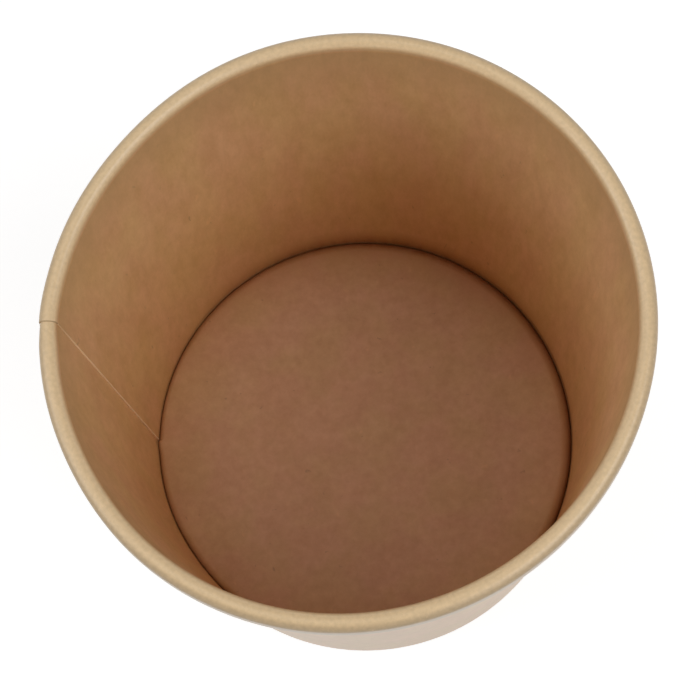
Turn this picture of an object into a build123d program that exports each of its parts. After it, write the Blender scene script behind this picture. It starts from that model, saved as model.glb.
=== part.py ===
"""Paper soup cup for about half a litre, rebuilt as its two pieces of coated paperboard.

Origin at the centre of the base, +Z up the axis, -X through the inner cut edge of the side seam.
"""
import os
from math import acos, asin, atan2, cos, degrees, hypot, pi, sin, tan

from build123d import *

# Whole cup, in millimetres
rim_diameter = 98.0  # across the rolled rim
base_diameter = 77.5  # across the wall, carried down to the base plane
height = 99.5  # base plane to the top of the rim

# Paperboard
wall_board = 0.42  # thickness of the side wall's board
disc_board = 0.38  # thickness of the bottom disc's board
seal_film = 0.04  # coating melted between two boards that are sealed

# Rolled rim
rim_roll = 2.8  # width of the roll
rim_depth = 4.9  # height of the roll, whose outer side stands upright
curl_gap = 0.12  # the roll's cut edge stays this far off the wall

# Lapped side seam
seam_angle = 180.0  # direction of the inner cut edge, degrees from +X
seam_overlap = 8.0  # width over which the wall is double
seam_ramp = 4.0  # length in which the outer ply comes back to the wall's line
ramp_steps = 4  # straight facets in that length
rim_press = 0.4  # share of the lap's extra thickness left in the roll

# Base
floor_height = 7.4  # base plane to the upper face of the bottom disc
disc_bend = 1.2  # inside radius of the bottom disc's turned edge
hem_clearance = 0.6  # between the hem's cut edge and the bend of the disc
skirt_clearance = 0.2  # between the skirt's cut edge and the bottom of the hem

# The roll is round at its top and bottom, and the wall runs up tangent to it
roll_radius = rim_roll / 2
roll_drop = rim_depth - rim_roll
roll_centre = Vector(rim_diameter / 2 - roll_radius, height - roll_radius)
roll_foot = roll_centre - Vector(0, roll_drop)
base_r = base_diameter / 2
reach = hypot(roll_centre.X - base_r, roll_centre.Y)
taper = atan2(roll_centre.X - base_r, roll_centre.Y) - asin((roll_radius - wall_board) / reach)

# The skirt of the disc lies between the wall and the hem, with a sealed film on each side
pocket = disc_board + 2 * seal_film
fold_radius = pocket / 4
hem_top = floor_height - disc_board - disc_bend - hem_clearance

# The lap is set out on the wall's mean radius
seam_r = (base_r + roll_centre.X) / 2
overlap_angle = degrees(seam_overlap / seam_r)
ramp_angle = degrees(seam_ramp / seam_r)


def on_wall(depth, z):
    """Point at height z on the cone that lies depth inside the wall's outer face."""
    return Vector(base_r + z * tan(taper) - depth / cos(taper), z)


def corner(before, point, after, radius):
    """Straight edge from before, then the arc that rounds the corner at point towards after."""
    back = (before - point).normalized()
    ahead = (after - point).normalized()
    half = acos(back.dot(ahead)) / 2
    start = point + back * (radius / tan(half))
    end = point + ahead * (radius / tan(half))
    middle = point + (back + ahead).normalized() * (radius / sin(half) - radius)
    return [Edge.make_line(before, start), Edge.make_three_point_arc(start, middle, end)], end


def wall_face(level, lift, sweep):
    """One face of the wall in section, from the hem's cut edge to the roll's cut edge.

    level is 0 for the face towards the soup and 1 for the other; lift is how far it stands out at the lap.
    """
    depth = wall_board * (1 - level)
    bend = fold_radius + wall_board * level
    radius = roll_radius - wall_board * level - lift * rim_press

    hem_end = on_wall(pocket + wall_board * (1 + level), hem_top)
    hem_corner = on_wall(pocket + wall_board * (1 + level), depth)
    wall_corner = on_wall(depth, depth)
    lap_foot = on_wall(depth, hem_top)
    lap_knee = on_wall(depth - lift, floor_height)
    roll_start = roll_centre + Vector(-cos(taper), sin(taper)) * radius
    roll_top = CenterArc(roll_centre, radius, 180 - degrees(taper), degrees(taper) - 180)
    roll_side = Line(roll_top @ 1, roll_top @ 1 - Vector(0, roll_drop))
    roll_end = CenterArc(roll_foot, radius, 0, -sweep)

    hem, foot = corner(hem_end, hem_corner, wall_corner, bend)
    rise, wall_start = corner(foot, wall_corner, lap_foot, bend)
    wall = [
        Edge.make_line(wall_start, lap_foot),
        Edge.make_line(lap_foot, lap_knee),
        Edge.make_line(lap_knee, roll_start),
    ]
    roll = [roll_top.edge(), roll_side.edge(), roll_end.edge()]
    return hem + rise + wall + roll, hem_end, roll_end @ 1


def wall_section(soup_lift, back_lift):
    """Closed section of the side wall, its two faces lifted outwards by the given amounts at the lap."""
    wall_line = roll_radius - wall_board - back_lift * rim_press + roll_drop * sin(taper)
    end_angle = acos((wall_line - curl_gap) / (roll_radius - soup_lift * rim_press))
    sweep = 180 + degrees(taper - end_angle)
    soup, soup_hem, soup_roll = wall_face(0, soup_lift, sweep)
    back, back_hem, back_roll = wall_face(1, back_lift, sweep)
    ends = [Edge.make_line(soup_hem, back_hem), Edge.make_line(soup_roll, back_roll)]
    return Plane.XZ * Face(Wire(soup + back + ends))


def disc_section():
    """Half section of the bottom disc with its turned-down skirt."""
    outer_depth = wall_board + seal_film
    inner_depth = outer_depth + disc_board
    underside = floor_height - disc_board
    axis_top = Vector(0, floor_height)
    axis_under = Vector(0, underside)
    skirt_outer = on_wall(outer_depth, wall_board + skirt_clearance)
    skirt_inner = on_wall(inner_depth, wall_board + skirt_clearance)
    top, top_end = corner(axis_top, on_wall(outer_depth, floor_height), skirt_outer, disc_bend + disc_board)
    under, under_end = corner(axis_under, on_wall(inner_depth, underside), skirt_inner, disc_bend)
    rest = [
        Edge.make_line(top_end, skirt_outer),
        Edge.make_line(skirt_outer, skirt_inner),
        Edge.make_line(skirt_inner, under_end),
        Edge.make_line(axis_under, axis_top),
    ]
    return Plane.XZ * Face(Wire(top + under + rest))


def turned(section, start, arc):
    """Section turned about the cup's axis from the start angle through the arc, in degrees."""
    return revolve(Rot(0, 0, start) * section, axis=Axis.Z, revolution_arc=arc)


# The wall is single all the way round except at the lap, where the outer ply rides over the inner one
single = turned(wall_section(0, 0), seam_angle + ramp_angle, 360 - overlap_angle - ramp_angle)
lap = turned(wall_section(0, wall_board), seam_angle - overlap_angle, overlap_angle)

# Past the inner cut edge the outer ply eases back to the wall's line
ramp_sections = []
for step in range(ramp_steps + 1):
    along = step / ramp_steps
    lift = wall_board * (1 + cos(pi * along)) / 2
    ramp_sections.append(Rot(0, 0, seam_angle + ramp_angle * along) * wall_section(lift, lift))
ramp = loft(ramp_sections, ruled=True)

side_wall = single + lap + ramp
bottom_disc = turned(disc_section(), 0, 360)

os.makedirs("parts", exist_ok=True)
export_step(side_wall, "parts/side_wall.step")
export_step(bottom_disc, "parts/bottom_disc.step")
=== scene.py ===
import math
from collections import namedtuple

import bmesh
import bpy
import numpy as np
from mathutils import Matrix, Vector


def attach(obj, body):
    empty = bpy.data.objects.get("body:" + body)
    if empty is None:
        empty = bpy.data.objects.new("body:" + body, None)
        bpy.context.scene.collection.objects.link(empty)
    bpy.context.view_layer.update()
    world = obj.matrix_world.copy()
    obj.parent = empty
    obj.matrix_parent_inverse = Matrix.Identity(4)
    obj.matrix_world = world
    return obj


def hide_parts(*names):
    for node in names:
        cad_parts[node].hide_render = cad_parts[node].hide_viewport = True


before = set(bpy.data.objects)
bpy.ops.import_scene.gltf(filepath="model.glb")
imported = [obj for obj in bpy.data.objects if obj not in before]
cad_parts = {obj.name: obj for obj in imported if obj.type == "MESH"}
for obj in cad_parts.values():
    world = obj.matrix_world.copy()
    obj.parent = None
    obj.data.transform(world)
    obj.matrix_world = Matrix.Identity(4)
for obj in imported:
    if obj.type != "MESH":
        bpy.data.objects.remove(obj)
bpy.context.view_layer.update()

MM = 0.001
FULL_TURN = 2 * math.pi
QUARTER_TURN = math.pi / 2

# Change of a length in millimetres, strongest at an angle and fading over a spread, both in degrees
Dent = namedtuple("Dent", "size angle spread")
# Strength of a painted shade all round, and how it changes with the wide and the tight part of the disc's
# bend
PaintedShade = namedtuple("PaintedShade", "all_round wide tight")
# Flecks: how they are warped, cells per unit, radius and share of the cells, strength and tone
Dots = namedtuple("Dots", "warp_scale warp cells radius share strength tone")
# One column of the wall's mesh
Column = namedtuple("Column", "angle soup_lift back_lift back_angle cut")

# The cup's dimensions, in millimetres, as in the CAD part
RIM_R = 49.0
BASE_R = 38.75
HEIGHT = 99.5
WALL_BOARD = 0.42
DISC_BOARD = 0.38
SEAL_FILM = 0.04
ROLL_R = 1.4
ROLL_DROP = 2.1
CURL_GAP = 0.12
SEAM_ANGLE = math.radians(180.0)
SEAM_OVERLAP = 8.0
SEAM_RAMP = 4.0
RIM_PRESS = 0.4
FLOOR_Z = 7.4
HEM_TOP = 5.22
SKIRT_CLEARANCE = 0.2

# What follows from them
ROLL_CENTRE = np.array([RIM_R - ROLL_R, HEIGHT - ROLL_R])
ROLL_FOOT = ROLL_CENTRE - np.array([0.0, ROLL_DROP])
REACH = math.hypot(ROLL_CENTRE[0] - BASE_R, ROLL_CENTRE[1])
TAPER = math.atan2(ROLL_CENTRE[0] - BASE_R, ROLL_CENTRE[1]) - math.asin((ROLL_R - WALL_BOARD) / REACH)
POCKET = DISC_BOARD + 2 * SEAL_FILM
FOLD_R = POCKET / 4
SEAM_R = (BASE_R + ROLL_CENTRE[0]) / 2
OVERLAP_ANGLE = SEAM_OVERLAP / SEAM_R
RAMP_ANGLE = SEAM_RAMP / SEAM_R

# The bend of the disc stands a little off the wall, is wider on one side and is tightest beside the seam
FLOOR_BEND = 1.7
FLOOR_BEND_MORE = 0.36
BEND_GAP = 0.17
BEND_GAP_MORE = 0.09
WIDE_BEND_ANGLE = math.radians(29.0)
TIGHT_BEND = Dent(-0.40, 172.0, 26.0)
BEND_FOOT = HEM_TOP + 0.1

# The disc's edge follows the ramp past the seam from this radius on, fully after this share of the ramp
FOLLOW_R = 34.0
FOLLOW_RUN = 4.0
FOLLOW_SHARE = 0.1

# The seam's cut edges are pressed a little round
EDGE_ROUND = 0.15

# The real cup's rim is slightly out of round, drawn in beside the seam and fuller on one side
OVAL_SIZE = 0.627
OVAL_ANGLE = math.radians(43.2)
DENTS = (Dent(-0.48, 141.0, 21.0), Dent(0.20, 178.0, 6.0), Dent(-0.30, 209.0, 16.0))
ROLL_SWELL = 0.16
ROLL_SWELL_ANGLE = math.radians(272.0)

# Its base is a little wider, off centre and drawn in past the seam
BASE_SPREAD = 0.32
BASE_SHIFT = 0.2
BASE_SHIFT_ANGLE = math.radians(69.0)
BASE_DENT = Dent(-0.30, 218.0, 16.0)

# Marks of the knurling wheel that presses the hem, and the heights between which they lie
KNURLS = 120
KNURL_DEPTH = 0.07
KNURL_FOOT = 0.8
KNURL_TOP = HEM_TOP - 0.4

# How finely the wall is cut up: round the cup, then up its section from the hem
WALL_COLUMNS = 560
RAMP_COLUMNS = 12
LAP_COLUMNS = 20
EDGE_COLUMNS = 5
HEM_ROWS = 8
FOLD_ROWS = 6
FOOT_ROWS = 2
RISE_ROWS = 6
KNEE_ROWS = 2
WALL_ROWS = 6
NECK_ROWS = 3
ROLL_TOP_ROWS = 17
ROLL_SIDE_ROWS = 3
ROLL_END_ROWS = 15
ROLL_POINTS = ROLL_TOP_ROWS + ROLL_SIDE_ROWS + ROLL_END_ROWS

# Shares of the way from the floor to the roll: rows lie close where the stain fades, and the neck is short
LOW_WALL_SHARES = (0.0, 0.004, 0.035, 0.07)
NECK_SHARE = 0.02

# How finely the disc is cut up, round a small flat hub
HUB_R = 1.0
DISC_COLUMNS = 360
DISC_RAMP_COLUMNS = 40
DISC_EARLY_COLUMNS = 4
COLUMN_MARGIN = 0.005
DISC_ROWS = 24
BEND_ROWS = 12
UNDER_BEND_ROWS = 8
SKIRT_ROWS = 6
JOIN_ROWS = 2

# Joining of points that coincide, in metres, and the angle from which an edge is drawn sharp
SAME_POINT = 1e-8
SHARP_ANGLE = math.radians(40)

# Material slots of the wall, and the third grain coordinate, which keeps the faces' patterns apart
SOUP_LOOK, CUT_LOOK, BACK_LOOK = range(3)
SOUP_GRAIN = 0.0
BACK_GRAIN = 0.35
DISC_GRAIN = 0.7

# Where the rim's colours and painted shades begin, in millimetres of run past the roll's start, and how
# soon they are full
NECK_RUN = 15.0
CREST_START = -1.1
CREST_RUN = 1.9
SIDE_START = 2.45
SIDE_RUN = 0.65

# Share of the outer side's painted shade that is left where the roll is least full
SIDE_LEAST = 0.3

# Painted shade where the wall meets the disc, darkening the board in the crease and near it, most on the
# side of these angles
WALL_PAINTED_SHADE_ANGLE = math.radians(86.0)
DISC_PAINTED_SHADE_ANGLE = math.radians(77.0)
WALL_PAINTED_SHADE = 0.9
WALL_PAINTED_SHADE_HEIGHT = 6.3
WALL_PAINTED_SHADE_FADE = 1.3
FOOT_PAINTED_SHADE = 0.55
FOOT_PAINTED_SHADE_MORE = 0.25
FOOT_PAINTED_SHADE_HEIGHT = 0.1
DISC_PAINTED_SHADE = 0.5
DISC_PAINTED_SHADE_R = 30.0
DISC_PAINTED_SHADE_RUN = 8.0
EDGE_PAINTED_SHADE = PaintedShade(0.55, 0.3, 0.5)
EDGE_PAINTED_SHADE_RUN = 2.2
CREASE_PAINTED_SHADE = PaintedShade(0.7, 0.2, 0.8)
CREASE_DEPTH = 0.9

# Board colours, linear
WALL_COLOUR = (0.686, 0.420, 0.202)
# The neck's darker colour is painted shade under the roll
NECK_PAINTED_SHADE_COLOUR = (0.610, 0.382, 0.182)
# The rim's paler colour is partly paler rolled board and partly painted sheen
RIM_COLOUR_AND_SHEEN = (0.745, 0.540, 0.312)
# The roll's darker outer side is painted shade
RIM_SIDE_PAINTED_SHADE_COLOUR = (0.51, 0.367, 0.211)
BACK_COLOUR = (0.625, 0.390, 0.180)
FLOOR_COLOUR = (0.592, 0.351, 0.192)
# Colour of the painted shade in the crease, at the wall's foot and at the disc's edge
PAINTED_SHADE_COLOUR = (0.32, 0.11, 0.03)
# Painted shade deep in the cup, on the wall and towards the disc's edge
DEEP_WALL_PAINTED_SHADE = (1.0, 0.965, 0.87)
DEEP_FLOOR_PAINTED_SHADE = (0.95, 0.88, 0.75)
EDGE_COLOUR = (0.92, 0.68, 0.42)
# The cut edge's colours at the neck and on the rim are painted shade and a painted shadow
NECK_EDGE_PAINTED_SHADE_COLOUR = (0.66, 0.44, 0.24)
RIM_EDGE_PAINTED_SHADOW_COLOUR = (0.45, 0.31, 0.17)

# How red, green and blue take part when the board gets lighter, and when it turns towards pink
LIFT_GAIN = (1.0, 1.3, 1.8)
PINK_GAIN = (0.01, -0.022, 0.03)

# Noises in the board, as scale and detail
MOTTLE_NOISE = (0.35, 2.0)
FIBRE_NOISE = (1.1, 2.0)
TOOTH_NOISE = (4.0, 1.0)
HUE_NOISE = (0.2, 2.0)
RIM_NOISE = (1.5, 3.0)

# How mottle, fibre and tooth add up to a cloud, and the part of each noise's range that is used
CLOUD_SHARES = (0.4, 0.4, 0.2)
CLOUD_RANGE = (0.35, 0.65)
HUE_RANGE = (0.38, 0.62)
RIM_RANGE = (0.32, 0.68)

# Flecks in the board and on the rim
DARK_DOTS = Dots(warp_scale=1.6, warp=1.2, cells=0.5, radius=0.11, share=0.35, strength=0.42, tone=0.45)
PALE_DOTS = Dots(warp_scale=1.3, warp=1.0, cells=0.36, radius=0.14, share=0.3, strength=0.22, tone=1.4)
RIM_DOTS = Dots(warp_scale=2.0, warp=0.5, cells=0.9, radius=0.16, share=0.25, strength=0.25, tone=1.3)
DOT_CORE = 0.4

# How much the neck, the roll's crest and its outer side vary in tone
NECK_VARIES = 0.08
CREST_VARIES = 0.06
SIDE_VARIES = 0.08

# A full painted shade's strength between and on the fibres, and the gloss from board without painted shade
# to board with it full
PAINTED_SHADE_STRENGTH = (0.55, 0.81)
PAINTED_SHADE_GLOSS = (0.5, 0.05)

# Painted shade deep in the cup, where the board turns darker and yellower: metres along the wall's section,
# and metres from the disc's centre
DEEP_WALL_RUN = (0.075, 0.040)
DEEP_FLOOR_R = (0.027, 0.038)

# Finish of the board, where the rim's roll is smoother than the wall
WALL_ROUGHNESS = 0.5
RIM_ROUGHNESS = 0.28
COATING_IOR = 1.45
BACK_IOR = 1.27
BUMP_DISTANCE = 0.00008

# On the cut edges the painted shade at the neck and the painted shadow on the rim are full at these places
# on the rim
NECK_EDGE_FULL = -0.9
RIM_EDGE_FULL = 0.3

# Studio floor, in metres: rings that grow outwards, then a round cove
STUDIO_RING = 0.15
STUDIO_GROWTH = 1.36
STUDIO_RINGS = 9
STUDIO_COLUMNS = 96
COVE_R = 0.8
COVE_ROWS = 12

# Its greys, as it lights the cup and as it is seen, and its glow by the distance from the cup
STUDIO_BOUNCE = (0.55, 0.55, 0.55, 1)
STUDIO_SEEN = (0.45, 0.45, 0.45, 1)
STUDIO_ROUGHNESS = 0.9
STUDIO_GLOW = (0.76, 1.0)
STUDIO_GLOW_R = (0.15, 0.8)

# Soft lights round the cup: degrees round from the right of the picture, degrees up, watts
SOFT_LIGHTS = (
    ("right_high", 330, 55, 3.65),
    ("right_front_low", 300, 35, 1.5),
    ("left_low", 180, 35, 3.0),
    ("left_back_top", 150, 70, 1.35),
)
LIGHT_DISTANCE = 1.0
LIGHT_SIZE = 0.7
LIGHT_AIM = Vector((0, 0, 0.08))
SKY_STRENGTH = 0.223

# The photograph's camera, in rim radii from the axis at the level of the roll's upper centre, then turned
VIEW_TURN = math.radians(9.0)
EYE = (0.0, -2.27, 9.036)
TARGET = (-0.0042, -0.082, 0.0)
VIEW_ROLL = -0.1474
FOCAL_PIXELS = 2875.3
IMAGE_PIXELS = 700
SENSOR = 36.0
CLIP_NEAR = 0.01
CLIP_FAR = 20


def clamp(value, low=0.0):
    """Value held between low and 1."""
    return min(1.0, max(low, value))


def on_wall(depth, z):
    """Point at height z on the cone that lies depth inside the wall's outer face."""
    return np.array([BASE_R + z * math.tan(TAPER) - depth / math.cos(TAPER), z])


def straight(a, b, count):
    """Points from a towards b, without b."""
    return [a + (b - a) * (k / count) for k in range(count)]


def arc_points(centre, radius, angles):
    """Points at the given angles on a circle."""
    return [centre + radius * np.array([math.cos(angle), math.sin(angle)]) for angle in angles]


def rounded(before, point, after, radius, count):
    """Points of the arc that rounds the corner at point, without its end, then its start and its end."""
    back = (before - point) / np.linalg.norm(before - point)
    ahead = (after - point) / np.linalg.norm(after - point)
    half = math.acos(float(back @ ahead)) / 2
    middle = (back + ahead) / np.linalg.norm(back + ahead)
    centre = point + middle * (radius / math.sin(half))
    start = point + back * (radius / math.tan(half))
    end = point + ahead * (radius / math.tan(half))
    first = math.atan2(*(start - centre)[::-1])
    last = math.atan2(*(end - centre)[::-1])
    turn = (last - first + math.pi) % FULL_TURN - math.pi
    return arc_points(centre, radius, [first + turn * k / count for k in range(count)]), start, end


def wall_face(level, lift, sweep):
    """Points of one face of the wall in section, from the hem's cut edge to the roll's cut edge.

    level is 0 for the face towards the soup and 1 for the other; lift is how far it stands out at the lap.
    """
    depth = WALL_BOARD * (1 - level)
    hem_depth = POCKET + WALL_BOARD * (1 + level)
    bend = FOLD_R + WALL_BOARD * level
    radius = ROLL_R - WALL_BOARD * level - lift * RIM_PRESS
    hem_end = on_wall(hem_depth, HEM_TOP)
    hem_corner = on_wall(hem_depth, depth)
    wall_corner = on_wall(depth, depth)
    lap_foot = on_wall(depth, HEM_TOP)
    lap_knee = on_wall(depth - lift, FLOOR_Z)

    first = math.pi - TAPER
    top_angles = [first * (1 - k / ROLL_TOP_ROWS) for k in range(ROLL_TOP_ROWS)]
    end_angles = [-sweep * k / (ROLL_END_ROWS - 1) for k in range(ROLL_END_ROWS)]
    side = np.array([radius, 0.0])
    roll = arc_points(ROLL_CENTRE, radius, top_angles)
    roll += straight(ROLL_CENTRE + side, ROLL_FOOT + side, ROLL_SIDE_ROWS)
    roll += arc_points(ROLL_FOOT, radius, end_angles)
    roll_start = roll[0]

    hem_arc, hem_foot, foot = rounded(hem_end, hem_corner, wall_corner, bend, FOLD_ROWS)
    wall_arc, wall_foot, rise = rounded(foot, wall_corner, lap_foot, bend, FOLD_ROWS)
    low_wall = [lap_knee + (roll_start - lap_knee) * share for share in LOW_WALL_SHARES]
    neck = roll_start + (lap_knee - roll_start) * NECK_SHARE
    points = straight(hem_end, hem_foot, HEM_ROWS) + hem_arc
    points += straight(foot, wall_foot, FOOT_ROWS) + wall_arc
    points += straight(rise, lap_foot, RISE_ROWS) + straight(lap_foot, lap_knee, KNEE_ROWS)
    points += low_wall[:-1] + straight(low_wall[-1], neck, WALL_ROWS)
    points += straight(neck, roll_start, NECK_ROWS)
    return points + roll


def wall_section(soup_lift, back_lift):
    """Closed section of the side wall: the soup face up, then the back face down."""
    wall_line = ROLL_R - WALL_BOARD - back_lift * RIM_PRESS + ROLL_DROP * math.sin(TAPER)
    sweep = math.pi + TAPER - math.acos((wall_line - CURL_GAP) / (ROLL_R - soup_lift * RIM_PRESS))
    soup = wall_face(0, soup_lift, sweep)
    back = wall_face(1, back_lift, sweep)
    return np.array(soup), np.array(back)[::-1]


def run_length(points):
    """Length along the points up to each of them."""
    steps = np.linalg.norm(np.diff(points, axis=0), axis=1)
    return np.concatenate([[0.0], np.cumsum(steps)])


def ramp_lift(along):
    """How far the outer ply stands out at a share of the ramp past the seam."""
    return WALL_BOARD * (1 + math.cos(math.pi * along)) / 2


def wall_columns():
    """Columns once round the wall, from the inner cut edge over the ramp and the single wall to the lap.

    Each holds its angle, how far its two faces stand out, the back face's angle along its own ply, and the
    face that is a cut edge between it and the next column.
    """
    start = SEAM_ANGLE + RAMP_ANGLE
    end = SEAM_ANGLE + FULL_TURN - OVERLAP_ANGLE
    rounding = EDGE_ROUND / SEAM_R
    columns = []
    for k in range(RAMP_COLUMNS):
        angle = SEAM_ANGLE + RAMP_ANGLE * k / RAMP_COLUMNS
        lift = ramp_lift(k / RAMP_COLUMNS)
        columns.append(Column(angle, lift, lift, angle, None))
    for k in range(WALL_COLUMNS + 1):
        angle = start + (end - start) * k / WALL_COLUMNS
        columns.append(Column(angle, 0.0, 0.0, angle, "back" if k == WALL_COLUMNS else None))
    for k in range(EDGE_COLUMNS + 1):
        across = QUARTER_TURN * (1 - k / EDGE_COLUMNS)
        angle = end + rounding * (1 - math.sin(across))
        lift = WALL_BOARD - EDGE_ROUND * (1 - math.cos(across))
        columns.append(Column(angle, 0.0, lift, angle - FULL_TURN, "back" if k < EDGE_COLUMNS else None))
    for k in range(1, LAP_COLUMNS):
        angle = end + rounding + (OVERLAP_ANGLE - 2 * rounding) * k / LAP_COLUMNS
        columns.append(Column(angle, 0.0, WALL_BOARD, angle - FULL_TURN, None))
    for k in range(EDGE_COLUMNS + 1):
        across = QUARTER_TURN * k / EDGE_COLUMNS
        angle = end + OVERLAP_ANGLE - rounding * (1 - math.sin(across))
        lift = EDGE_ROUND * (1 - math.cos(across))
        columns.append(Column(angle, lift, WALL_BOARD, angle - FULL_TURN, "soup"))
    return columns


def swell_side(angle):
    """1 on the side where the roll is fullest, 0 on the other."""
    return (1 + math.cos(angle - ROLL_SWELL_ANGLE)) / 2


def wide_side(angle):
    """1 on the side where the disc's bend is widest, -1 on the other."""
    return math.cos(angle - WIDE_BEND_ANGLE)


def painted_shade_side(angle, worst):
    """1 on the side of the strongest painted shade, 0 from a quarter turn away."""
    return max(0.0, math.cos(angle - worst)) ** 2


def dented(angle, dent):
    """Change by a dent at an angle: its full size at its own angle, fading out over its spread."""
    away = (math.degrees(angle) - dent.angle + 180) % 360 - 180
    return dent.size * math.exp(-(away / dent.spread) ** 2)


def real_radius(angle, r, z):
    """Radius in the real cup: the rim's shape fades out downwards, and the base's fades out upwards."""
    up = clamp((z - FLOOR_Z) / (HEIGHT - FLOOR_Z))
    rim = OVAL_SIZE * math.cos(2 * (angle - OVAL_ANGLE))
    rim += ROLL_SWELL * swell_side(angle) * clamp((r - ROLL_CENTRE[0]) / ROLL_R, -1.0)
    rim += sum(dented(angle, dent) for dent in DENTS)
    base = BASE_SPREAD + BASE_SHIFT * math.cos(angle - BASE_SHIFT_ANGLE) + dented(angle, BASE_DENT)
    return r + rim * up + base * (1 - up) * min(1.0, r / BASE_R)


def knurl(angle, r, z):
    """Change of radius by the knurl, whose ridges stand up on the open face of the hem."""
    hem_middle = on_wall(POCKET + 1.5 * WALL_BOARD, z)[0]
    if r < hem_middle and KNURL_FOOT < z < KNURL_TOP:
        return KNURL_DEPTH * (math.cos(KNURLS * angle) - 1) / 2
    return 0.0


def turned_point(radius, angle, z):
    """Point in metres at a radius, angle and height in millimetres."""
    return radius * math.cos(angle) * MM, radius * math.sin(angle) * MM, z * MM


def rim_place(above, angle):
    """Place on the rim by the run past the start of the roll.

    It falls from 0 towards -1 up the neck, where it carries a painted shade, starts again at 0 just under
    the roll and is 1 on the roll's crest. It goes on to 2 on the outer side, where it carries a painted
    shade, less so where the roll is not full.
    """
    if above < CREST_START:
        return min(0.0, -1 - above / NECK_RUN)
    crest = min(1.0, (above - CREST_START) / CREST_RUN)
    side = clamp((above - SIDE_START) / SIDE_RUN)
    return crest + side * (SIDE_LEAST + (1 - SIDE_LEAST) * swell_side(angle))


def wall_painted_shade(angle, z):
    """Painted shade on the soup face of the wall: low down on one side, and all round at its foot."""
    height = clamp(1 - (z - FLOOR_Z) / WALL_PAINTED_SHADE_HEIGHT)
    low = WALL_PAINTED_SHADE * height ** WALL_PAINTED_SHADE_FADE * painted_shade_side(angle, WALL_PAINTED_SHADE_ANGLE)
    if z < FLOOR_Z + FOOT_PAINTED_SHADE_HEIGHT:
        return max(low, FOOT_PAINTED_SHADE + FOOT_PAINTED_SHADE_MORE * wide_side(angle))
    return low


def painted_shade_strength(painted_shade, angle):
    """Strength of a painted shade at an angle, which differs with the disc's bend."""
    return painted_shade.all_round + painted_shade.wide * wide_side(angle) + painted_shade.tight * dented(angle, TIGHT_BEND)


def disc_painted_shade(angle, r, z):
    """Painted shade on the upper face of the disc: broad on one side, all round at its edge and in the
    crease.
    """
    out = clamp((r - DISC_PAINTED_SHADE_R) / DISC_PAINTED_SHADE_RUN)
    broad = DISC_PAINTED_SHADE * out ** 2 * painted_shade_side(angle, DISC_PAINTED_SHADE_ANGLE)
    edge = clamp(1 - (BASE_R - r) / EDGE_PAINTED_SHADE_RUN) * painted_shade_strength(EDGE_PAINTED_SHADE, angle)
    crease = min(1.0, (FLOOR_Z - z) / CREASE_DEPTH) * painted_shade_strength(CREASE_PAINTED_SHADE, angle)
    return min(1.0, max(broad + edge, crease))


def wall_faces(columns, rows):
    """Faces between each column and the next, and the material slot of each."""
    half = rows // 2
    faces = []
    looks = []
    for i, column in enumerate(columns):
        here = i * rows
        there = ((i + 1) % len(columns)) * rows
        for j in range(rows):
            up = (j + 1) % rows
            faces.append((here + j, there + j, there + up, here + up))
            back = j >= half
            board_end = j in (half - 1, rows - 1)
            cut = board_end or column.cut == ("back" if back else "soup")
            looks.append(CUT_LOOK if cut else BACK_LOOK if back else SOUP_LOOK)
    return faces, looks


def build_wall():
    """Side wall with its hem, lap and roll."""
    columns = wall_columns()
    points = []
    grain = []
    rim = []
    painted_shade = []
    for column in columns:
        angle = column.angle
        soup, back = wall_section(column.soup_lift, column.back_lift)
        run = run_length(soup)
        for (r, z), length in zip(soup, run):
            points.append(turned_point(real_radius(angle, r, z), angle, z))
            grain.append((angle * SEAM_R * MM, length * MM, SOUP_GRAIN))
            rim.append(rim_place(length - run[-ROLL_POINTS], angle))
            painted_shade.append(wall_painted_shade(angle, z))
        for (r, z), length in zip(back, run_length(back)):
            points.append(turned_point(real_radius(angle, r, z) + knurl(angle, r, z), angle, z))
            grain.append((column.back_angle * SEAM_R * MM, length * MM, BACK_GRAIN))
            rim.append(0.0)
            painted_shade.append(0.0)
    faces, looks = wall_faces(columns, len(points) // len(columns))
    return make_object("cup_wall", points, faces, {"grain": grain, "rim": rim, "painted_shade": painted_shade}, looks)


def disc_section(bend, gap):
    """Points of the bottom disc in section, and how many of them are on its upper and outer face.

    bend is its bend's outside radius, and gap is how much further off the wall than the skirt it stands.
    """
    outer = WALL_BOARD + SEAL_FILM
    inner = outer + DISC_BOARD
    under = FLOOR_Z - DISC_BOARD
    skirt_outer = on_wall(outer, WALL_BOARD + SKIRT_CLEARANCE)
    skirt_inner = on_wall(inner, WALL_BOARD + SKIRT_CLEARANCE)
    bend_outer = on_wall(outer, BEND_FOOT)
    bend_inner = on_wall(inner, BEND_FOOT)
    top_hub = np.array([HUB_R, FLOOR_Z])
    under_hub = np.array([HUB_R, under])
    top_corner = on_wall(outer + gap, FLOOR_Z)
    under_corner = on_wall(inner + gap, under)
    under_bend = bend - DISC_BOARD
    top_arc, top_edge, top_end = rounded(top_hub, top_corner, bend_outer, bend, BEND_ROWS)
    under_arc, under_edge, under_end = rounded(
        under_hub, under_corner, bend_inner, under_bend, UNDER_BEND_ROWS
    )
    top = straight(top_hub, top_edge, DISC_ROWS) + top_arc
    top += straight(top_end, bend_outer, JOIN_ROWS) + straight(bend_outer, skirt_outer, SKIRT_ROWS)
    bottom = straight(skirt_outer, skirt_inner, JOIN_ROWS) + straight(skirt_inner, bend_inner, SKIRT_ROWS)
    bottom += straight(bend_inner, under_end, JOIN_ROWS) + under_arc[::-1]
    bottom += straight(under_edge, under_hub, DISC_ROWS) + [under_hub]
    return np.array(top + bottom), len(top)


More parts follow.
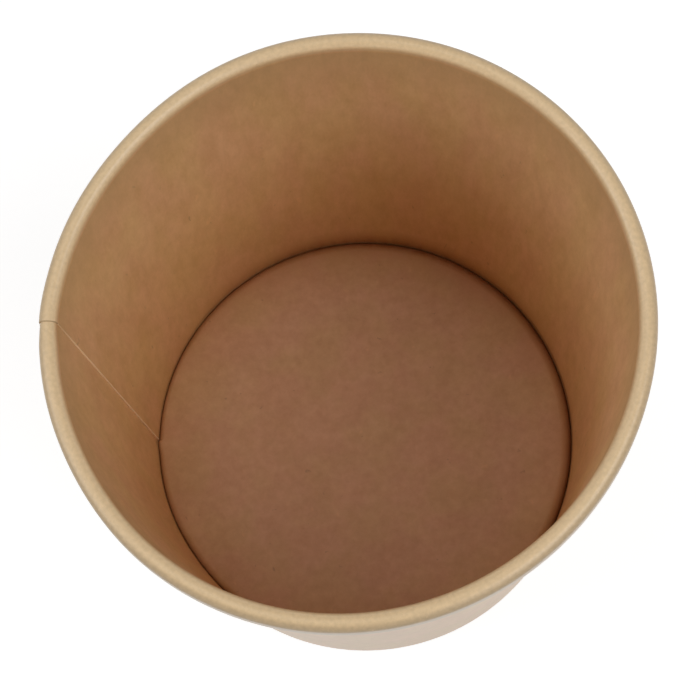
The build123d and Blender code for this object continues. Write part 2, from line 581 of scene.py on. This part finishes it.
def disc_angles():
    """Angles of the disc's columns, which lie close together at the ramp past the seam."""
    steps = range(-DISC_EARLY_COLUMNS, DISC_RAMP_COLUMNS + 1)
    close = [SEAM_ANGLE + RAMP_ANGLE * k / DISC_RAMP_COLUMNS for k in steps]
    apart = [FULL_TURN * k / DISC_COLUMNS for k in range(DISC_COLUMNS)]
    before = [angle for angle in apart if angle < close[0] - COLUMN_MARGIN]
    after = [angle for angle in apart if angle > close[-1] + COLUMN_MARGIN]
    return before + close + after


def build_disc():
    """Bottom disc, whose edge follows the wall where the outer ply stands out past the seam."""
    angles = disc_angles()
    points = []
    grain = []
    painted_shade = []
    for angle in angles:
        along = (angle - SEAM_ANGLE) / RAMP_ANGLE
        lift = ramp_lift(along) * min(1.0, along / FOLLOW_SHARE) if 0 < along < 1 else 0.0
        wide = wide_side(angle)
        bend = FLOOR_BEND + FLOOR_BEND_MORE * wide + dented(angle, TIGHT_BEND)
        section, top_rows = disc_section(bend, BEND_GAP + BEND_GAP_MORE * wide)
        for k, (r, z) in enumerate(section):
            height = clamp((z - HEM_TOP) / (FLOOR_Z - HEM_TOP))
            follow = clamp((r - FOLLOW_R) / FOLLOW_RUN) * height
            x, y, up = turned_point(real_radius(angle, r, z) + lift * follow, angle, z)
            points.append((x, y, up))
            grain.append((x, y, DISC_GRAIN + up))
            painted_shade.append(disc_painted_shade(angle, r, z) if k < top_rows else 0.0)
    rows = len(section)
    faces = []
    for i in range(len(angles)):
        here = i * rows
        there = ((i + 1) % len(angles)) * rows
        for j in range(rows - 1):
            faces.append((here + j, here + j + 1, there + j + 1, there + j))
    faces.append([i * rows for i in range(len(angles))])
    faces.append([i * rows + rows - 1 for i in range(len(angles))][::-1])
    looks = np.zeros(len(faces))
    return make_object("cup_floor", points, faces, {"grain": grain, "painted_shade": painted_shade}, looks)


def make_object(name, points, faces, layers, looks):
    """Smooth object in the scene, with the layers as attributes of its points and a slot for each face."""
    mesh = bpy.data.meshes.new(name)
    mesh.from_pydata(points, [], faces)
    mesh.polygons.foreach_set("material_index", np.array(looks, np.int32))
    for key, values in layers.items():
        flat = np.array(values, np.float32)
        kind, field = ("FLOAT_VECTOR", "vector") if flat.ndim == 2 else ("FLOAT", "value")
        mesh.attributes.new(key, kind, "POINT").data.foreach_set(field, flat.ravel())
    work = bmesh.new()
    work.from_mesh(mesh)
    bmesh.ops.remove_doubles(work, verts=work.verts, dist=SAME_POINT)
    bmesh.ops.dissolve_degenerate(work, edges=work.edges, dist=SAME_POINT)
    bmesh.ops.recalc_face_normals(work, faces=work.faces)
    work.to_mesh(mesh)
    work.free()
    mesh.polygons.foreach_set("use_smooth", np.ones(len(mesh.polygons), bool))
    mesh.set_sharp_from_angle(angle=SHARP_ANGLE)
    thing = bpy.data.objects.new(name, mesh)
    bpy.context.scene.collection.objects.link(thing)
    return thing


def shaded(colour, share):
    """Colour made darker or lighter."""
    return tuple(c * share for c in colour)


def tinted(colour, lift, pink):
    """Colour made lighter and greyer by lift, or darker and stronger, and turned towards pink or green."""
    gains = zip(colour, LIFT_GAIN, PINK_GAIN)
    return tuple(c * (1 + lift_gain * lift) * (1 + pink_gain * pink) for c, lift_gain, pink_gain in gains)


class Graph:
    """Short calls for building a material's nodes."""

    def __init__(self, name):
        self.material = bpy.data.materials.new(name)
        self.material.use_nodes = True
        self.tree = self.material.node_tree
        self.shader = self.tree.nodes["Principled BSDF"]

    def add(self, kind, settings=None, **inputs):
        """Node with its settings and inputs; an input is named, or numbered after an underscore."""
        made = self.tree.nodes.new(kind)
        for key, value in (settings or {}).items():
            setattr(made, key, value)
        for key, value in inputs.items():
            numbered = key[0] == "_"
            self.put(made.inputs[int(key[1:]) if numbered else key.replace("_", " ")], value)
        return made

    def put(self, socket, value):
        """Link from another node's socket, or set a value."""
        if isinstance(value, bpy.types.NodeSocket):
            self.tree.links.new(value, socket)
        else:
            socket.default_value = value

    def shade(self, name, value):
        """Input of the shader itself."""
        self.put(self.shader.inputs[name], value)

    def attribute(self, name, output):
        return self.add("ShaderNodeAttribute", {"attribute_name": name}).outputs[output]

    def math(self, operation, a, b):
        return self.add("ShaderNodeMath", {"operation": operation}, _0=a, _1=b).outputs[0]

    def vector(self, operation, output=0, **inputs):
        return self.add("ShaderNodeVectorMath", {"operation": operation}, **inputs).outputs[output]

    def stretched(self, vector, x, y):
        return self.vector("MULTIPLY", _0=vector, _1=(x, y, 1.0))

    def noise(self, vector, scale, detail, output="Fac"):
        made = self.add("ShaderNodeTexNoise", None, Vector=vector, Scale=scale, Detail=detail)
        return made.outputs[output]

    def warped(self, vector, scale, size):
        bent = self.vector("SCALE", _0=self.noise(vector, scale, 1.0, "Color"), Scale=size)
        return self.vector("ADD", _0=vector, _1=bent)

    def ramp(self, value, low, high, start=0.0, end=1.0):
        """Value carried from the range low to high onto the range start to end, and held within it."""
        made = self.add(
            "ShaderNodeMapRange", None, Value=value, From_Min=low, From_Max=high, To_Min=start, To_Max=end
        )
        return made.outputs["Result"]

    def flecks(self, vector, dots):
        """Small dots, one at most in each unit cell, in the given share of the cells."""
        cells = self.add("ShaderNodeTexVoronoi", None, Vector=vector, Scale=1.0)
        dot = self.ramp(cells.outputs["Distance"], dots.radius, dots.radius * DOT_CORE)
        pick = self.add("ShaderNodeSeparateColor", None, Color=cells.outputs["Color"]).outputs[0]
        chosen = self.math("LESS_THAN", pick, dots.share)
        return self.math("MULTIPLY", dot, chosen)

    def blend(self, share, a, b, kind="MIX"):
        """Colour a turned into b by a share, or multiplied by b by that share."""
        made = self.add("ShaderNodeMix", {"data_type": "RGBA", "blend_type": kind}, Factor=share)
        ends = [socket for socket in made.inputs if socket.type == "RGBA"]
        for socket, colour in zip(ends, (a, b)):
            self.put(socket, (*colour, 1.0) if isinstance(colour, tuple) else colour)
        return [socket for socket in made.outputs if socket.type == "RGBA"][0]

    def varied(self, share, colour, by):
        """Colour that is darker and lighter by a part of itself."""
        return self.blend(share, shaded(colour, 1 - by), shaded(colour, 1 + by))

    def dotted(self, paper, vector, dots, colour):
        """Paper with dots in a darker or lighter tone of the colour."""
        shares = self.math("MULTIPLY", self.flecks(vector, dots), dots.strength)
        return self.blend(shares, paper, shaded(colour, dots.tone))


def kraft(name, colour, along, lift, roughness, ior, bumps):
    """Plain kraft board: mottled in tone and tint, with fibres, dark and light flecks and a fine tooth.

    along is how close the pattern lies in the board's two directions, and lift is how far its tone varies.
    """
    graph = Graph(name)
    graph.mm = graph.vector("SCALE", _0=graph.attribute("grain", "Vector"), Scale=1 / MM)
    laid = graph.stretched(graph.mm, *along)
    graph.fibre = graph.noise(laid, *FIBRE_NOISE)
    noises = (graph.noise(laid, *MOTTLE_NOISE), graph.fibre, graph.noise(laid, *TOOTH_NOISE))
    parts = [graph.math("MULTIPLY", noise, share) for noise, share in zip(noises, CLOUD_SHARES)]
    cloud = graph.math("ADD", graph.math("ADD", parts[0], parts[1]), parts[2])
    graph.cloud = graph.ramp(cloud, *CLOUD_RANGE)
    hue = graph.ramp(graph.noise(laid, *HUE_NOISE), *HUE_RANGE)
    low = graph.blend(hue, tinted(colour, -lift, 1), tinted(colour, -lift, -1))
    high = graph.blend(hue, tinted(colour, lift, 1), tinted(colour, lift, -1))
    graph.paper = graph.blend(graph.cloud, low, high)
    for dots in (DARK_DOTS, PALE_DOTS):
        cells = graph.stretched(graph.warped(laid, dots.warp_scale, dots.warp), dots.cells, dots.cells)
        graph.paper = graph.dotted(graph.paper, cells, dots, colour)
    bump = graph.add("ShaderNodeBump", None, Height=graph.fibre, Strength=bumps, Distance=BUMP_DISTANCE)
    graph.shade("Normal", bump.outputs["Normal"])
    graph.shade("Roughness", roughness)
    graph.shade("IOR", ior)
    return graph


def with_painted_shade(graph):
    """Painted shade in the board's colour, patchy with the fibres, where the board is also duller."""
    painted_shade = graph.attribute("painted_shade", "Fac")
    patchy = graph.ramp(graph.fibre, *CLOUD_RANGE, *PAINTED_SHADE_STRENGTH)
    # Painted shade: the colour is darkened where the attribute says
    graph.paper = graph.blend(graph.math("MULTIPLY", painted_shade, patchy), graph.paper, PAINTED_SHADE_COLOUR)
    graph.shade("Specular IOR Level", graph.ramp(painted_shade, 0.0, 1.0, *PAINTED_SHADE_GLOSS))


def finished(graph):
    """Material whose colour is the graph's paper."""
    graph.shade("Base Color", graph.paper)
    return graph.material


def rolled_rim(graph, place):
    """Colour of the rolled rim: a pale crest, partly painted sheen, an outer side darkened by painted
    shade, and a few pale dots.
    """
    fine = graph.ramp(graph.noise(graph.mm, *RIM_NOISE), *RIM_RANGE)
    crest = graph.varied(fine, RIM_COLOUR_AND_SHEEN, CREST_VARIES)
    side = graph.varied(fine, RIM_SIDE_PAINTED_SHADE_COLOUR, SIDE_VARIES)
    # Painted shade on the roll's outer side
    rim = graph.blend(graph.ramp(place, 1.0, 2.0), crest, side)
    cells = graph.stretched(graph.mm, RIM_DOTS.cells, RIM_DOTS.cells)
    cells = graph.warped(cells, RIM_DOTS.warp_scale, RIM_DOTS.warp)
    return graph.dotted(rim, cells, RIM_DOTS, RIM_COLOUR_AND_SHEEN)


def wall_material():
    """Soup face of the wall: painted shade at the foot, deep down and at the neck, and pale on the rim,
    partly by painted sheen.
    """
    graph = kraft(
        "kraft_wall", WALL_COLOUR, along=(0.6, 0.17), lift=0.09,
        roughness=WALL_ROUGHNESS, ior=COATING_IOR, bumps=0.2,
    )
    with_painted_shade(graph)
    grain = graph.attribute("grain", "Vector")
    run = graph.add("ShaderNodeSeparateXYZ", None, Vector=grain).outputs["Y"]
    # Painted shade deep down the wall
    graph.paper = graph.blend(graph.ramp(run, *DEEP_WALL_RUN), graph.paper, DEEP_WALL_PAINTED_SHADE, "MULTIPLY")
    place = graph.attribute("rim", "Fac")
    # Painted shade at the neck
    neck = graph.varied(graph.cloud, NECK_PAINTED_SHADE_COLOUR, NECK_VARIES)
    graph.paper = graph.blend(graph.ramp(place, 0.0, -1.0), graph.paper, neck)
    graph.paper = graph.blend(graph.ramp(place, 0.0, 1.0), graph.paper, rolled_rim(graph, place))
    graph.shade("Roughness", graph.ramp(place, 0.0, 1.0, WALL_ROUGHNESS, RIM_ROUGHNESS))
    return finished(graph)


def cut_edge_material():
    """Cut edges of the board: pale and open, with painted shade at the neck and a painted shadow on the
    rim.
    """
    graph = kraft(
        "kraft_cut_edge", EDGE_COLOUR, along=(1.1, 2.0), lift=0.075,
        roughness=0.7, ior=COATING_IOR, bumps=0.3,
    )
    with_painted_shade(graph)
    place = graph.attribute("rim", "Fac")
    # Painted shade at the neck and a painted shadow on the rim, on the cut edge
    graph.paper = graph.blend(graph.ramp(place, 0.0, NECK_EDGE_FULL), graph.paper, NECK_EDGE_PAINTED_SHADE_COLOUR)
    graph.paper = graph.blend(graph.ramp(place, 0.0, RIM_EDGE_FULL), graph.paper, RIM_EDGE_PAINTED_SHADOW_COLOUR)
    return finished(graph)


def back_material():
    """Outer face of the wall, which has a smoother finish and no painted shade."""
    graph = kraft(
        "kraft_back", BACK_COLOUR, along=(0.6, 0.3), lift=0.075,
        roughness=0.28, ior=BACK_IOR, bumps=0.1,
    )
    return finished(graph)


def floor_material():
    """Bottom disc: painted shade at its edge, darker and yellower towards it."""
    graph = kraft(
        "kraft_floor", FLOOR_COLOUR, along=(0.6, 0.6), lift=0.078,
        roughness=0.5, ior=COATING_IOR, bumps=0.2,
    )
    with_painted_shade(graph)
    flat = graph.vector("MULTIPLY", _0=graph.attribute("grain", "Vector"), _1=(1, 1, 0))
    out = graph.vector("LENGTH", "Value", _0=flat)
    # Painted shade towards the disc's edge
    graph.paper = graph.blend(graph.ramp(out, *DEEP_FLOOR_R), graph.paper, DEEP_FLOOR_PAINTED_SHADE, "MULTIPLY")
    return finished(graph)


def studio_material():
    """White to the eye, with the cup's shadow kept, and grey as it lights the cup."""
    graph = Graph("studio_floor")
    graph.shade("Base Color", STUDIO_BOUNCE)
    graph.shade("Roughness", STUDIO_ROUGHNESS)
    path = graph.add("ShaderNodeLightPath").outputs
    seen = graph.math("MAXIMUM", path["Is Camera Ray"], path["Is Glossy Ray"])
    seen = graph.math("MAXIMUM", seen, path["Is Transmission Ray"])
    place = graph.add("ShaderNodeNewGeometry").outputs["Position"]
    away = graph.vector("LENGTH", "Value", _0=place)
    glow = graph.add("ShaderNodeEmission", None, Strength=graph.ramp(away, *STUDIO_GLOW_R, *STUDIO_GLOW))
    matt = graph.add("ShaderNodeBsdfDiffuse", None, Color=STUDIO_SEEN)
    bright = graph.add("ShaderNodeAddShader", None, _0=glow.outputs[0], _1=matt.outputs[0])
    mix = graph.add("ShaderNodeMixShader", None, _0=seen, _1=graph.shader.outputs[0], _2=bright.outputs[0])
    graph.put(graph.tree.nodes["Material Output"].inputs["Surface"], mix.outputs[0])
    graph.material.cycles.emission_sampling = "NONE"
    return graph.material


def studio_floor():
    """Flat floor that turns up into a round cove."""
    profile = [(STUDIO_RING * STUDIO_GROWTH ** k, 0.0) for k in range(STUDIO_RINGS)]
    out = profile[-1][0]
    for k in range(1, COVE_ROWS + 1):
        angle = QUARTER_TURN * k / COVE_ROWS
        profile.append((out + COVE_R * math.sin(angle), COVE_R - COVE_R * math.cos(angle)))
    profile.append((out + COVE_R, 2 * COVE_R))
    points = [(0.0, 0.0, 0.0)]
    for r, z in profile:
        for i in range(STUDIO_COLUMNS):
            angle = FULL_TURN * i / STUDIO_COLUMNS
            points.append((r * math.cos(angle), r * math.sin(angle), z))
    faces = [(0, 1 + i, 1 + (i + 1) % STUDIO_COLUMNS) for i in range(STUDIO_COLUMNS)]
    for j in range(len(profile) - 1):
        low = 1 + j * STUDIO_COLUMNS
        high = low + STUDIO_COLUMNS
        for i in range(STUDIO_COLUMNS):
            on = (i + 1) % STUDIO_COLUMNS
            faces.append((low + i, high + i, high + on, low + on))
    mesh = bpy.data.meshes.new("studio_floor")
    mesh.from_pydata(points, [], faces)
    mesh.polygons.foreach_set("use_smooth", np.ones(len(mesh.polygons), bool))
    mesh.materials.append(studio_material())
    floor = bpy.data.objects.new("studio_floor", mesh)
    bpy.context.scene.collection.objects.link(floor)
    return floor


def soft_light(name, azimuth, elevation, power):
    """Round soft light that shines on the cup from a direction in the picture."""
    light = bpy.data.lights.new(name, "AREA")
    light.shape = "DISK"
    light.size = LIGHT_SIZE
    light.energy = power
    lamp = bpy.data.objects.new(name, light)
    turn = math.radians(azimuth) + VIEW_TURN
    rise = math.radians(elevation)
    level = math.cos(rise)
    direction = Vector((math.cos(turn) * level, math.sin(turn) * level, math.sin(rise)))
    lamp.location = LIGHT_AIM + direction * LIGHT_DISTANCE
    lamp.rotation_euler = (-direction).to_track_quat("-Z", "Y").to_euler()
    bpy.context.scene.collection.objects.link(lamp)


def sky():
    """Even white light from all round."""
    world = bpy.data.worlds.new("studio")
    bpy.context.scene.world = world
    world.use_nodes = True
    lit = world.node_tree.nodes["Background"]
    lit.inputs["Color"].default_value = (1, 1, 1, 1)
    lit.inputs["Strength"].default_value = SKY_STRENGTH


def place_camera():
    """Camera fitted to the photograph."""
    spin = Matrix.Rotation(VIEW_TURN, 3, "Z")
    centre = Vector((0, 0, ROLL_CENTRE[1] * MM))
    eye = spin @ Vector(EYE) * RIM_R * MM + centre
    target = spin @ Vector(TARGET) * RIM_R * MM + centre
    forward = (target - eye).normalized()
    right = forward.cross(Vector((0, 0, 1))).normalized()
    up = right.cross(forward)
    turned_right = math.cos(VIEW_ROLL) * right + math.sin(VIEW_ROLL) * up
    turned_up = -math.sin(VIEW_ROLL) * right + math.cos(VIEW_ROLL) * up
    camera = bpy.data.objects.new("camera", bpy.data.cameras.new("camera"))
    camera.data.sensor_width = SENSOR
    camera.data.lens = FOCAL_PIXELS * SENSOR / IMAGE_PIXELS
    camera.data.clip_start = CLIP_NEAR
    camera.data.clip_end = CLIP_FAR
    pose = Matrix((turned_right, turned_up, -forward)).transposed().to_4x4()
    pose.translation = eye
    camera.matrix_world = pose
    bpy.context.scene.collection.objects.link(camera)
    bpy.context.scene.camera = camera


wall = build_wall()
disc = build_disc()
for material in (wall_material(), cut_edge_material(), back_material()):
    wall.data.materials.append(material)
disc.data.materials.append(floor_material())
for piece, node, slot in ((wall, "side_wall", "wall_board"), (disc, "bottom_disc", "disc_board")):
    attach(piece, "root")
    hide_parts(node)

studio_floor()
sky()
for light in SOFT_LIGHTS:
    soft_light(*light)
place_camera()
bpy.context.scene.view_settings.view_transform = "Standard"
